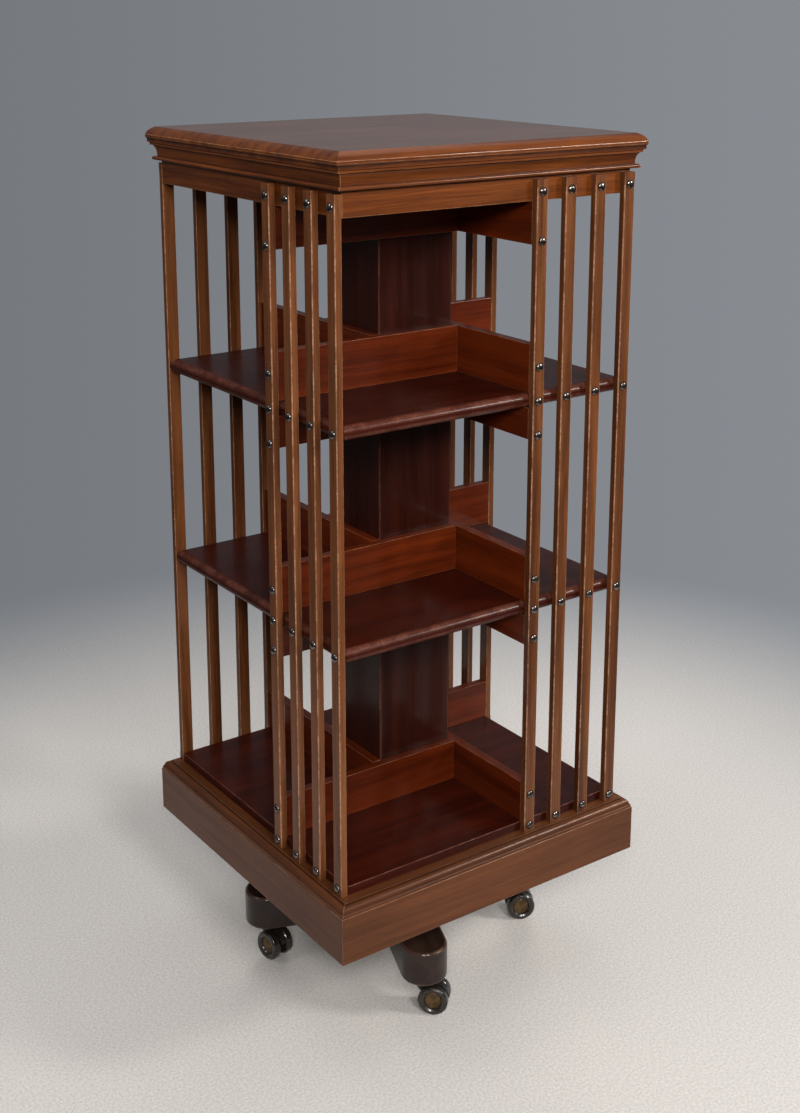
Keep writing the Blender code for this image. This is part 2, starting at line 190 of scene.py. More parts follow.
def new_group(name, inputs, outputs):
    """An empty node group with named sockets, and its input and output nodes."""
    group = bpy.data.node_groups.new(name, "ShaderNodeTree")
    for label, kind in inputs:
        group.interface.new_socket(label, in_out="INPUT", socket_type="NodeSocket" + kind)
    for label, kind in outputs:
        group.interface.new_socket(label, in_out="OUTPUT", socket_type="NodeSocket" + kind)
    start = group.nodes.new("NodeGroupInput")
    end = group.nodes.new("NodeGroupOutput")
    return group, start, end


def use_group(tree, group, values):
    """A group placed in a material, with its inputs set or linked by name."""
    return add(tree, "Group", values, node_tree=group).outputs


print("group helpers:", new_group.__name__, use_group.__name__)


# %% [markdown]
# ## Room
# The room is a plain cool grey, a little darker on the left. It gives the wood less light than it shows
# the eye, and polish that looks down meets a darker room than polish that looks up. That keeps upright
# boards deep in colour while the top board carries a grey sheen.

# %% Room
TO_THE_RIGHT = (0.816, -0.578, 0.0)
LESS_ON_WOOD = -0.62
world = bpy.data.worlds.new("room")
world.use_nodes = True
room = world.node_tree
room.nodes["Background"].inputs["Color"].default_value = (0.212, 0.226, 0.246, 1.0)
way = add(room, "TexCoord", {}).outputs["Generated"]
ray = add(room, "LightPath", {}).outputs
sideways = add(room, "VectorMath", {0: way, 1: TO_THE_RIGHT}, operation="DOT_PRODUCT").outputs["Value"]
upward = add(room, "SeparateXYZ", {0: way}).outputs["Z"]
strength = remap(room, sideways, -0.35, 0.35, 0.84, 1.17)
in_polish = calc(room, "SUBTRACT", remap(room, upward, -0.25, 0.30, 0.28, 0.90), 1.0)
strength = calc(room, "MULTIPLY", strength, calc(room, "MULTIPLY_ADD", ray["Is Glossy Ray"], in_polish, 1.0))
on_wood = calc(room, "MULTIPLY_ADD", ray["Is Diffuse Ray"], LESS_ON_WOOD, 1.0)
strength = calc(room, "MULTIPLY", strength, on_wood)
room.links.new(strength, room.nodes["Background"].inputs["Strength"])
bpy.context.scene.world = world
bpy.context.scene.view_settings.view_transform = "Standard"
print("room:", len(room.nodes), "nodes")

# %% [markdown]
# ## Mahogany grain
# Mahogany shows long soft streaks, a broader ribbon figure, and short dark pores. All of them are
# stretched noises: wide across the grain and slow along it. The grain wanders a little, because a board
# is never cut exactly along the fibres. One group serves every board, and each material gives it its own
# two colours, which is how a maker's stain changes from shelf to slat.

# %% Grain group
GRAIN, start, end = new_group(
    "mahogany grain",
    [("Place", "Vector"), ("Dark", "Color"), ("Light", "Color"), ("Pores", "Float")],
    [("Colour", "Color"), ("Height", "Float")])
drift = add(GRAIN, "TexNoise", {"Vector": start.outputs["Place"], "Scale": 2.6, "Detail": 2.0})
centred = add(GRAIN, "VectorMath", {0: drift.outputs["Color"], 1: (0.5, 0.5, 0.5)}, operation="SUBTRACT")
small = add(GRAIN, "VectorMath", {0: centred.outputs[0], 3: 0.022}, operation="SCALE")
values = {0: start.outputs["Place"], 1: small.outputs[0]}
wander = add(GRAIN, "VectorMath", values, operation="ADD").outputs[0]
ribbon = noise(GRAIN, stretch(GRAIN, wander, 17.0, 0.9), detail=2.0)
streaks = noise(GRAIN, stretch(GRAIN, wander, 62.0, 2.0), detail=6.0, roughness=0.62)
fibres = noise(GRAIN, stretch(GRAIN, wander, 420.0, 9.0), detail=4.0, roughness=0.6)
tone = calc(GRAIN, "MULTIPLY_ADD", streaks, 0.50, calc(GRAIN, "MULTIPLY", fibres, 0.28))
tone = calc(GRAIN, "MULTIPLY_ADD", ribbon, 0.22, tone)
tone = remap(GRAIN, tone, 0.36, 0.64)
colour = mix_colour(GRAIN, tone, start.outputs["Dark"], start.outputs["Light"])
pores = noise(GRAIN, stretch(GRAIN, wander, 1500.0, 46.0), detail=1.0)
pores = calc(GRAIN, "MULTIPLY", remap(GRAIN, pores, 0.60, 0.74), start.outputs["Pores"])
colour = mix_colour(GRAIN, calc(GRAIN, "MULTIPLY", pores, 0.55), colour, (0.012, 0.005, 0.004, 1.0))
cloud = remap(GRAIN, noise(GRAIN, start.outputs["Place"], 4.5, 2.0), 0.30, 0.70, 0.80, 1.0)
shade = add(GRAIN, "CombineColor", {0: cloud, 1: cloud, 2: cloud}).outputs[0]
colour = mix_colour(GRAIN, 1.0, colour, shade, "MULTIPLY")
GRAIN.links.new(colour, end.inputs["Colour"])
height = calc(GRAIN, "SUBTRACT", calc(GRAIN, "MULTIPLY", fibres, 0.6), pores)
GRAIN.links.new(height, end.inputs["Height"])
print("grain group:", len(GRAIN.nodes), "nodes")

# %% [markdown]
# ## Hand polish, worn and highlighted arrises, and painted shade in corners
# Shellac is rubbed on by hand, so its gloss changes in slow smears, and it has a very fine ripple. Where a
# sharp edge, an arris, has been knocked and dusted for a century, the colour is rubbed thin and the paler
# wood shows through in patches; the same pale colour is laid on more strongly as a painted highlight along
# the arrises. In the inward corners of mouldings a near-black colour is painted in as shade. The pieces
# carry a value named arris: it is 1 on an outward edge and -1 in an inward corner.

# %% Polish group
POLISH, start, end = new_group(
    "hand polish",
    [("Place", "Vector"), ("Roughness", "Float"), ("Spread", "Float")],
    [("Roughness", "Float"), ("Ripple", "Float")])
smears = noise(POLISH, start.outputs["Place"], 8.0, 4.0, 0.6)
ripple = noise(POLISH, start.outputs["Place"], 240.0, 2.0)
change = calc(POLISH, "MULTIPLY_ADD", calc(POLISH, "SUBTRACT", ripple, 0.5), 0.4,
              calc(POLISH, "SUBTRACT", smears, 0.5))
rough = calc(POLISH, "MULTIPLY_ADD", change, start.outputs["Spread"], start.outputs["Roughness"])
POLISH.links.new(rough, end.inputs["Roughness"])
POLISH.links.new(ripple, end.inputs["Ripple"])
print("polish group:", len(POLISH.nodes), "nodes")

# %% Wear, painted highlight and painted shade group
WEAR_AND_LIGHT, start, end = new_group(
    "arris wear and painted light",
    [("Place", "Vector"), ("Arris", "Float"), ("Amount", "Float")],
    [("Mask", "Float"), ("Painted Shade", "Float")])
patches = remap(WEAR_AND_LIGHT, noise(WEAR_AND_LIGHT, start.outputs["Place"], 42.0, 3.0), 0.36, 0.62, 0.35, 1.0)
nicks = remap(WEAR_AND_LIGHT, noise(WEAR_AND_LIGHT, start.outputs["Place"], 260.0, 2.0), 0.45, 0.60, 0.6, 1.0)
edge = calc(WEAR_AND_LIGHT, "MAXIMUM", start.outputs["Arris"], 0.0)
# Mask: pale colour on outward arrises, partly real wear and partly a painted highlight.
mask = calc(WEAR_AND_LIGHT, "MULTIPLY", calc(WEAR_AND_LIGHT, "MULTIPLY", patches, nicks), edge)
mask = calc(WEAR_AND_LIGHT, "MULTIPLY", mask, start.outputs["Amount"])
WEAR_AND_LIGHT.links.new(mask, end.inputs["Mask"])
# Painted shade: inward corners get a near-black colour that stands in for the shade in them.
corner = calc(WEAR_AND_LIGHT, "MAXIMUM", calc(WEAR_AND_LIGHT, "MULTIPLY", start.outputs["Arris"], -1.0), 0.0)
shade_patches = remap(WEAR_AND_LIGHT, noise(WEAR_AND_LIGHT, start.outputs["Place"], 55.0, 3.0), 0.30, 0.65, 0.6, 1.0)
WEAR_AND_LIGHT.links.new(calc(WEAR_AND_LIGHT, "MULTIPLY", corner, shade_patches), end.inputs["Painted Shade"])
print("wear and painted light group:", len(WEAR_AND_LIGHT.nodes), "nodes")

# %% [markdown]
# ## The woods
# Every wooden part has the same recipe with its own stain. The base of the shader is the stained wood, and
# its coat is the clear polish over it: two reflections, one broad and one sharp, as on real furniture.

# %% Wood materials
def clear_coat(shader, weight, roughness, coat_ior=1.5):
    """The clear polish over the stain."""
    shader.inputs["Coat Weight"].default_value = weight
    shader.inputs["Coat Roughness"].default_value = roughness
    shader.inputs["Coat IOR"].default_value = coat_ior


# Near-black colour of the painted shade in inward corners.
PAINTED_SHADE = (0.010, 0.004, 0.003, 1.0)


def wood(name, dark, light, wear_and_light, roughness=0.42, coat=0.32, coat_roughness=0.14, coat_ior=1.5, wear_and_highlight=0.75,
         own_place=True):
    """A stained and polished mahogany; own_place is False for a solid without grain coordinates."""
    material = bpy.data.materials.new(name)
    material.use_nodes = True
    tree = material.node_tree
    shader = tree.nodes["Principled BSDF"]
    if own_place:
        place = add(tree, "Attribute", {}, attribute_name="grain_at").outputs["Vector"]
    else:
        place = add(tree, "TexCoord", {}).outputs["Object"]
    arris = add(tree, "Attribute", {}, attribute_name="arris").outputs["Fac"]
    stain = {"Place": place, "Dark": (*dark, 1.0), "Light": (*light, 1.0), "Pores": 0.8}
    grain = use_group(tree, GRAIN, stain)
    polish = use_group(tree, POLISH, {"Place": place, "Roughness": roughness, "Spread": 0.35})
    edge_wear_and_light = use_group(tree, WEAR_AND_LIGHT, {"Place": place, "Arris": arris, "Amount": wear_and_highlight})
    # Pale colour on the arrises: partly real wear, partly a painted highlight along them.
    base = mix_colour(tree, edge_wear_and_light["Mask"], grain["Colour"], (*wear_and_light, 1.0))
    # Painted shade: inward corners of mouldings are darkened towards near-black.
    base = mix_colour(tree, edge_wear_and_light["Painted Shade"], base, PAINTED_SHADE)
    tree.links.new(base, shader.inputs["Base Color"])
    tree.links.new(polish["Roughness"], shader.inputs["Roughness"])
    relief = calc(tree, "MULTIPLY_ADD", polish["Ripple"], 0.35, grain["Height"])
    bump = add(tree, "Bump", {"Strength": 0.22, "Distance": 0.0003, "Height": relief})
    tree.links.new(bump.outputs["Normal"], shader.inputs["Normal"])
    shader.inputs["IOR"].default_value = 1.5
    shader.inputs["Specular IOR Level"].default_value = 0.10
    clear_coat(shader, coat, coat_roughness, coat_ior)
    return material


TOP_WOOD = wood("top mahogany", (0.080, 0.018, 0.0035), (0.225, 0.060, 0.0105), (0.58, 0.30, 0.15),
                coat=0.36, wear_and_highlight=1.0)
PANEL_WOOD = wood("top panel mahogany", (0.092, 0.026, 0.0090), (0.215, 0.072, 0.0220), (0.42, 0.20, 0.10),
                  coat=1.0, coat_roughness=0.20, coat_ior=1.75)
SHELF_WOOD = wood("shelf mahogany", (0.026, 0.0030, 0.0013), (0.058, 0.0074, 0.0024), (0.30, 0.110, 0.070),
                  coat=0.16, coat_roughness=0.16)
RAIL_WOOD = wood("rail mahogany", (0.066, 0.0085, 0.0014), (0.155, 0.0225, 0.0032), (0.40, 0.16, 0.085),
                 coat=0.25, wear_and_highlight=1.0)
SLAT_WOOD = wood("slat mahogany", (0.074, 0.023, 0.0080), (0.220, 0.075, 0.0240), (0.52, 0.30, 0.20),
                 wear_and_highlight=1.0)
PLINTH_WOOD = wood("plinth mahogany", (0.082, 0.0250, 0.0080), (0.150, 0.0480, 0.0150), (0.36, 0.18, 0.11),
                   coat=0.28, coat_roughness=0.22)
COLUMN_WOOD = wood("column mahogany", (0.017, 0.0030, 0.0018), (0.042, 0.0080, 0.0040), (0.20, 0.08, 0.05),
                   coat=0.30)
CROSS_WOOD = wood("cross base, black-brown stain", (0.014, 0.007, 0.005), (0.034, 0.016, 0.011),
                  (0.16, 0.09, 0.06), coat=0.6, coat_roughness=0.10)
POST_WOOD = wood("post beech", (0.20, 0.085, 0.040), (0.34, 0.16, 0.08), (0.5, 0.3, 0.2), own_place=False)
INNER_WOOD = wood("inner board, unpolished", (0.075, 0.024, 0.013), (0.14, 0.048, 0.024), (0.3, 0.2, 0.1),
                  roughness=0.6, coat=0.2, own_place=False)
print("woods:", [m.name for m in bpy.data.materials if "mahogany" in m.name])

# %% [markdown]
# ## Metals and the castors' moulded parts
# The screw heads are steel that has darkened with age, and the wheels are a glossy dark moulding with
# bronze hub caps. Both need only fine scratches, a little tarnish and changing gloss.

# %% Tarnish group, metals and mouldings
TARNISH, start, end = new_group(
    "tarnish",
    [("Place", "Vector"), ("Clean", "Color"), ("Dull", "Color"), ("Roughness", "Float")],
    [("Colour", "Color"), ("Roughness", "Float"), ("Height", "Float")])
stain = remap(TARNISH, noise(TARNISH, start.outputs["Place"], 170.0, 4.0), 0.38, 0.62)
scratch = noise(TARNISH, stretch(TARNISH, start.outputs["Place"], 2400.0, 260.0), detail=2.0)
colour = mix_colour(TARNISH, stain, start.outputs["Clean"], start.outputs["Dull"])
rough = calc(TARNISH, "MULTIPLY_ADD", stain, 0.16, start.outputs["Roughness"])
rough = calc(TARNISH, "MULTIPLY_ADD", scratch, 0.08, rough)
TARNISH.links.new(colour, end.inputs["Colour"])
TARNISH.links.new(rough, end.inputs["Roughness"])
TARNISH.links.new(scratch, end.inputs["Height"])


def hard_finish(name, clean, dull, roughness, metallic, coat=0.0):
    """A metal, or with metallic 0 a glossy moulding."""
    material = bpy.data.materials.new(name)
    material.use_nodes = True
    tree = material.node_tree
    shader = tree.nodes["Principled BSDF"]
    place = add(tree, "TexCoord", {}).outputs["Object"]
    values = {"Place": place, "Clean": (*clean, 1.0), "Dull": (*dull, 1.0), "Roughness": roughness}
    tarnish = use_group(tree, TARNISH, values)
    tree.links.new(tarnish["Colour"], shader.inputs["Base Color"])
    tree.links.new(tarnish["Roughness"], shader.inputs["Roughness"])
    bump = add(tree, "Bump", {"Strength": 0.12, "Distance": 0.0001, "Height": tarnish["Height"]})
    tree.links.new(bump.outputs["Normal"], shader.inputs["Normal"])
    shader.inputs["Metallic"].default_value = metallic
    clear_coat(shader, coat, 0.08)
    return material


SCREW_STEEL = hard_finish("screw steel", (0.20, 0.18, 0.165), (0.085, 0.072, 0.064), 0.12, 1.0)
STEEL = hard_finish("bright steel", (0.55, 0.55, 0.56), (0.34, 0.33, 0.32), 0.25, 1.0)
IRON = hard_finish("cast iron", (0.10, 0.10, 0.10), (0.055, 0.05, 0.045), 0.5, 1.0)
BRASS = hard_finish("brass", (0.62, 0.43, 0.18), (0.36, 0.23, 0.10), 0.3, 1.0)
HUB_BRONZE = hard_finish("hub cap bronze", (0.170, 0.105, 0.042), (0.085, 0.052, 0.024), 0.34, 0.7)
WHEEL_MOULDING = hard_finish("wheel moulding", (0.010, 0.008, 0.006), (0.020, 0.014, 0.010), 0.20, 0.0, 0.4)
HOOD_MOULDING = hard_finish("castor hood", (0.008, 0.007, 0.006), (0.016, 0.013, 0.011), 0.28, 0.0, 0.3)

# %% [markdown]
# ## Floor
# A plain pale floor, which fades into the room's grey away from the bookcase. The fading is tied to the
# floor itself, so it stays where it is when the camera moves. The light it throws back is held down, as
# a photographer does with dark cloth beside the set: otherwise the undersides would glow.

# %% Floor
FLOOR_RADIUS = 1.80
floor_mesh = bpy.data.meshes.new("floor")
floor_bm = bmesh.new()
bmesh.ops.create_circle(floor_bm, cap_ends=True, segments=96, radius=FLOOR_RADIUS)
floor_bm.to_mesh(floor_mesh)
floor_bm.free()
floor = bpy.data.objects.new("floor", floor_mesh)
bpy.context.scene.collection.objects.link(floor)
floor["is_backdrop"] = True
floor_finish = bpy.data.materials.new("floor covering")
floor_finish.use_nodes = True
tree = floor_finish.node_tree
place = add(tree, "TexCoord", {}).outputs["Object"]
distance = add(tree, "VectorMath", {0: place}, operation="LENGTH").outputs["Value"]
near = remap(tree, distance, 0.70, 1.75, 1.0, 0.0)
pile = noise(tree, place, 260.0, 4.0, 0.7)
PALE_DARK = (0.58, 0.555, 0.535, 1.0)
PALE_LIGHT = (0.76, 0.735, 0.71, 1.0)
THROWN_BACK = (0.30, 0.27, 0.25, 1.0)
floor_colour = mix_colour(tree, remap(tree, pile, 0.3, 0.7), PALE_DARK, PALE_LIGHT)
floor_shader = tree.nodes["Principled BSDF"]
bounce = add(tree, "LightPath", {}).outputs["Is Diffuse Ray"]
floor_colour = mix_colour(tree, bounce, floor_colour, THROWN_BACK)
tree.links.new(floor_colour, floor_shader.inputs["Base Color"])
tree.links.new(near, floor_shader.inputs["Alpha"])
floor_shader.inputs["Roughness"].default_value = 0.95
floor_shader.inputs["Specular IOR Level"].default_value = 0.1
bump = add(tree, "Bump", {"Strength": 0.25, "Distance": 0.002, "Height": pile})
tree.links.new(bump.outputs["Normal"], floor_shader.inputs["Normal"])
floor_mesh.materials.append(floor_finish)
print("floor radius", FLOOR_RADIUS)

# %% [markdown]
# ## Turning outlines into boards
# Almost every piece here is a skin stretched between rings of points: a moulding is its section carried
# from one mitre to the other, a plate is a stack of squares, a wheel is a stack of circles. One loft
# function makes them all. Corners are rounded in the outline first, because a real arris is never
# perfectly sharp, and it is the rounding that catches the light.

# %% Outlines with rounded corners
def soften(corners, steps=3):
    """A closed outline from (a, b, radius) corners. Gives (a, b, value): 1 on an outward arris, for wear and
    a painted highlight, -1 in an inward corner, for painted shade.
    """
    count = len(corners)
    area = 0.0
    for i, (a, b, _) in enumerate(corners):
        next_a, next_b, _ = corners[(i + 1) % count]
        area += a * next_b - next_a * b
    points = []
    for i, (a, b, radius) in enumerate(corners):
        here = Vector((a, b))
        back = (Vector(corners[i - 1][:2]) - here).normalized()
        ahead = (Vector(corners[(i + 1) % count][:2]) - here).normalized()
        half_angle = back.angle(ahead) / 2.0
        outward = (ahead.x * back.y - ahead.y * back.x) * area > 0.0
        # An inward corner gets a negative value, which the material turns into painted shade.
        inward_shade = -min(1.0, (math.pi - 2.0 * half_angle) / math.radians(50.0))
        if radius <= 0.0:
            points.append((a, b, 0.0 if outward else inward_shade))
            continue
        centre = here + (back + ahead).normalized() * (radius / math.sin(half_angle))
        first = here + back * (radius / math.tan(half_angle)) - centre
        last = here + ahead * (radius / math.tan(half_angle)) - centre
        for step in range(steps + 1):
            point = centre + first.slerp(last, step / steps).normalized() * radius
            points.append((point.x, point.y, math.sin(math.pi * step / steps) if outward else inward_shade))
    return points


trial = soften([(0.0, 0.0, 1.0), (9.0, 0.0, 1.0), (9.0, 9.0, 1.0), (0.0, 9.0, 1.0)])
print("a square with four rounded corners has", len(trial), "points")


# %% Skins over rings of points
def loft(loops, joined=False, bm=None):
    """A skin over rings of (x, y, z, worn) points, capped at both ends or joined into a ring."""
    bm = bm or bmesh.new()
    arris = bm.verts.layers.float.get("arris") or bm.verts.layers.float.new("arris")
    rows = []
    for loop in loops:
        row = []
        for x, y, z, wear_and_light in loop:
            vert = bm.verts.new((x, y, z))
            vert[arris] = wear_and_light
            row.append(vert)
        rows.append(row)
    pairs = list(zip(rows, rows[1:]))
    if joined:
        pairs.append((rows[-1], rows[0]))
    faces = []
    for lower, upper in pairs:
        for i in range(len(lower)):
            j = (i + 1) % len(lower)
            faces.append(bm.faces.new((lower[i], lower[j], upper[j], upper[i])))
    if not joined:
        faces.append(bm.faces.new(list(reversed(rows[0]))))
        faces.append(bm.faces.new(rows[-1]))
    bmesh.ops.recalc_face_normals(bm, faces=faces)
    return bm


triangle = [(0.0, 0.0, 0.0, 0.0), (1.0, 0.0, 0.0, 0.0), (0.0, 1.0, 0.0, 0.0)]
trial_bm = loft([triangle, [(x, y, 1.0, wear_and_light) for x, y, _, wear_and_light in triangle]])
print("a wedge from two rings has", len(trial_bm.faces), "faces")
trial_bm.free()

# %% Placing a finished piece
GRAIN_ALONG = {"x": ("y", "z", "x"), "y": ("z", "x", "y"), "z": ("x", "y", "z")}
SHARP_ANGLE = math.radians(32.0)


def lay_grain(bm, along, name):
    """Give each point its place in the log: Z along the grain, at a spot of the piece's own."""
    spot = random.Random(name)
    offset = Vector((spot.uniform(-9, 9), spot.uniform(-9, 9), spot.uniform(-9, 9)))
    layer = bm.verts.layers.float_vector.new("grain_at")
    for vert in bm.verts:
        turned = Vector([getattr(vert.co, axis) for axis in GRAIN_ALONG[along]])
        vert[layer] = turned + offset


def place_piece(name, bm, material, body, stands_for, along=None, matrix=None):
    """Make the object, lay its grain, ride it on its body and let it stand for its solids."""
    if along:
        lay_grain(bm, along, name)
    mesh = bpy.data.meshes.new(name)
    bm.to_mesh(mesh)
    bm.free()
    mesh.materials.append(material)
    mesh.shade_smooth()
    mesh.set_sharp_from_angle(angle=SHARP_ANGLE)
    piece = bpy.data.objects.new(name, mesh)
    bpy.context.scene.collection.objects.link(piece)
    if matrix is not None:
        piece.matrix_world = matrix
    even = piece.modifiers.new("even_light", "WEIGHTED_NORMAL")
    even.keep_sharp = True
    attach(piece, body)
    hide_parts(*stands_for)
    return piece


def face_turn(index):
    """The turn that carries the front face to another face."""
    return Matrix.Rotation(QUARTER * index, 4, "Z")


print("grain can run along", sorted(GRAIN_ALONG))

# %% [markdown]
# ## Top, cornice and frieze
# The top is one thick board, its edge worked to a swelling slope that ends in a small nosing. Under it four
# lengths of moulding, a cove over a bead, are mitred round four plain frieze boards. Each length is its own
# piece, so the grain runs along all four sides and changes direction at the mitres, as on the real one.

# %% Shapes with square plans
CORNER_STEPS = 6


def square_loop(half, z, corner, wear_and_light):
    """A square ring of points with rounded corners."""
    radius = max(corner, 0.0004)
    middle = half - radius
    loop = []
    for quarter in range(4):
        for step in range(CORNER_STEPS):
            angle = QUARTER * step / (CORNER_STEPS - 1)
            x = middle + radius * math.cos(angle)
            y = middle + radius * math.sin(angle)
            for _ in range(quarter):
                x, y = -y, x
            loop.append((x, y, z, wear_and_light))
    return loop


def square_plate(outline, corner):
    """A plate from an outline of (half, z, worn); corner is the corner radius at its widest."""
    widest = max(half for half, _, _ in outline)
    loops = [square_loop(half, z, corner - (widest - half), wear_and_light) for half, z, wear_and_light in outline]
    return loft(loops)


def mitred_length(outline, gap=0.00015, worn_end=0.0011):
    """A straight length on the front face with both ends cut at 45 degrees and rubbed pale at the mitre."""
    loops = []
    for side, inset, rubbed in ((-1, 0.0, 0.9), (-1, worn_end, 0.0), (1, worn_end, 0.0), (1, 0.0, 0.9)):
        loops.append([(side * (half - gap - inset), -half, z, rubbed or wear_and_light) for half, z, wear_and_light in outline])
    return loft(loops)


print("a square ring has", len(square_loop(0.1, 0.0, 0.01, 0.0)), "points")


# %% Top board
top_low, top_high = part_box("top_board")
EDGE_WIDTH = 0.0120
EDGE_FALL = 0.0095
SWELL = 0.0009
top_half = top_high.x
flat_half = top_half - EDGE_WIDTH
inner_half = flat_half - 0.0500
slope_foot = top_high.z - EDGE_FALL
slope_run = EDGE_WIDTH - 0.0008
top_corners = [(inner_half, top_high.z, 0.0), (flat_half, top_high.z, 0.0004)]
for step in range(1, 6):
    swell = SWELL * math.sin(math.pi * step / 6)
    slope_z = top_high.z - EDGE_FALL * step / 6
    top_corners.append((flat_half + slope_run * step / 6 + swell, slope_z + swell, 0.0))
nosing = top_high.z - 0.0110
top_corners += [(top_half - 0.0008, slope_foot, 0.0), (top_half, nosing, 0.0025),
                (top_half, nosing - 0.0034, 0.0012), (top_half - 0.0012, nosing - 0.0052, 0.0),
                (top_half - 0.0025, nosing - 0.0056, 0.0), (top_half - 0.0025, top_low.z, 0.0),
                (inner_half, top_low.z, 0.0)]
top_outline = soften(top_corners, 2)
top_bm = square_plate(top_outline, 0.0030)
top_piece = place_piece("top_panel", top_bm, TOP_WOOD, "carcass", ["top_board"], along="x")
top_piece.data.materials.append(PANEL_WOOD)
for face in top_piece.data.polygons:
    if face.normal.z > 0.9999:
        face.material_index = 1
print("top board", round(2000 * top_half), "mm square")

# %% Cornice and frieze
cornice_low, cornice_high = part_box("cornice")
frieze_low, frieze_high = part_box("frieze")
cornice_half = cornice_high.x
cornice_inner = cornice_half - 0.0418
frieze_half = frieze_high.x
bead = 0.0027
bead_middle = cornice_half - 0.0045
cove_foot = cornice_low.z + 2.5 * bead
cove_head = cornice_high.z - 0.0037
cove_out = cornice_half - 0.0014
cove_in = cornice_half - 0.0076
cornice_corners = [(cornice_inner, cornice_low.z, 0.0)]
for step in range(9):
    angle = -QUARTER + math.pi * step / 8
    cornice_corners.append((bead_middle + bead * math.cos(angle),
                            cornice_low.z + bead + bead * math.sin(angle), 0.0))
cornice_corners += [(cove_in, cornice_low.z + 2 * bead, 0.0)]
for step in range(8):
    angle = QUARTER * step / 7
    cornice_corners.append((cove_in + (cove_out - cove_in) * (1 - math.cos(angle)),
                            cove_foot + (cove_head - cove_foot) * math.sin(angle), 0.0))
cornice_corners += [(cornice_half, cove_head, 0.0004), (cornice_half, cornice_high.z, 0.0004),
                    (cornice_inner, cornice_high.z, 0.0)]
cornice_outline = soften(cornice_corners, 2)
frieze_inner = frieze_half - 0.0160
frieze_outline = soften([(frieze_inner, frieze_high.z, 0.0), (frieze_half, frieze_high.z, 0.0),
                         (frieze_half, frieze_low.z, 0.0009), (frieze_inner, frieze_low.z, 0.0009)])
for index, face in enumerate(FACES):
    place_piece("cornice_length_" + face, mitred_length(cornice_outline), TOP_WOOD, "carcass",
                ["cornice"], along="x", matrix=face_turn(index))
    place_piece("frieze_board_" + face, mitred_length(frieze_outline), TOP_WOOD, "carcass",
                ["frieze"], along="x", matrix=face_turn(index))
print("cornice outline has", len(cornice_outline), "points")

# %% [markdown]
# ## Shelves
# The two upper shelves are 20 mm boards with a half-round nose on all four edges and a square hole for the
# column. The lowest one is the carcass's floor: thinner, with a crisp arris, and with a round hole for the
# guide collar of the post. Each is a ring of square loops that goes round the rim and back through the hole.

# %% Shelves
column_low, column_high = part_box("column")
column_half = column_high.x
CLEARANCE = 0.0003
COLLAR_HOLE = 0.0443
for tier, node in zip(TIERS, ("upper_shelf", "middle_shelf", "bottom_shelf")):
    low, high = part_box(node)
    nose = (high.z - low.z) / 2 - 0.0006 if tier != "lower" else 0.0009
    rim = soften([(high.x - 0.03, low.z, 0.0), (high.x, low.z, nose), (high.x, high.z, nose),
                  (high.x - 0.03, high.z, 0.0)], 8)
    rubbed = 0.5 if tier != "lower" else 1.0
    loops = [square_loop(half, z, 0.0040 - (high.x - half), wear_and_light * rubbed) for half, z, wear_and_light in rim]
    if tier == "lower":
        hole = COLLAR_HOLE
        for z in (high.z, low.z):
            count = 4 * CORNER_STEPS
            turns = [2 * math.pi * (i + 0.5) / count for i in range(count)]
            loops.append([(hole * math.cos(t), hole * math.sin(t), z, 0.0) for t in turns])
    else:
        hole = column_half + CLEARANCE
        loops += [square_loop(hole, high.z, 0.0, 0.0), square_loop(hole, low.z, 0.0, 0.0)]
    shelf_bm = loft(loops, joined=True)
    place_piece(node + "_board", shelf_bm, SHELF_WOOD, "carcass", [node], along="x")
print("shelf half width", round(high.x, 4))

# %% [markdown]
# ## Column
# The hollow column is glued up from four boards with mitred long edges. From outside they read as one dark
# post, but the grain changes at each corner.

# %% Column boards
def upright(section, low, high):
    """An upright board from a plan outline of (x, y, worn)."""
    return loft([[(x, y, z, wear_and_light) for x, y, wear_and_light in section] for z in (low, high)])


wall = 0.0120
seam = 0.00008
outer_end = column_half - seam
inner_end = column_half - wall - seam
column_section = soften([
    (-outer_end, -column_half, 0.0009), (outer_end, -column_half, 0.0009),
    (inner_end, -column_half + wall, 0.0), (-inner_end, -column_half + wall, 0.0)])
for index, face in enumerate(FACES):
    column_bm = upright(column_section, column_low.z, column_high.z)
    place_piece("column_board_" + face, column_bm, COLUMN_WOOD, "carcass", ["column"],
                along="z", matrix=face_turn(index))
print("column", round(1000 * (column_high.z - column_low.z)), "mm tall")

# %% [markdown]
# ## Partition rails
# On every shelf four low rails stop the books, and under every ceiling four more steady the slats. They
# run round the column like a pinwheel: each rail butts against the side of the next. A board helper makes
# a block and bevels its edges; the middle row of each bevel is marked as arris.

# %% Board helper and rails
def board(low, high, arris_width, steps=2):
    """A rectangular board with all its arrises eased."""
    bm = bmesh.new()
    bmesh.ops.create_cube(bm, size=1.0)
    size = Vector(high) - Vector(low)
    bmesh.ops.transform(bm, matrix=Matrix.Diagonal((*size, 1.0)), verts=bm.verts)
    bmesh.ops.translate(bm, vec=(Vector(low) + Vector(high)) / 2, verts=bm.verts)
    arris = bm.verts.layers.float.new("arris")
    made = bmesh.ops.bevel(bm, geom=bm.edges[:], offset=arris_width, segments=steps, profile=0.5,
                           affect="EDGES")
    eased = set(made["faces"])
    for vert in bm.verts:
        vert[arris] = 1.0 if all(face in eased for face in vert.link_faces) else 0.0
    return bm


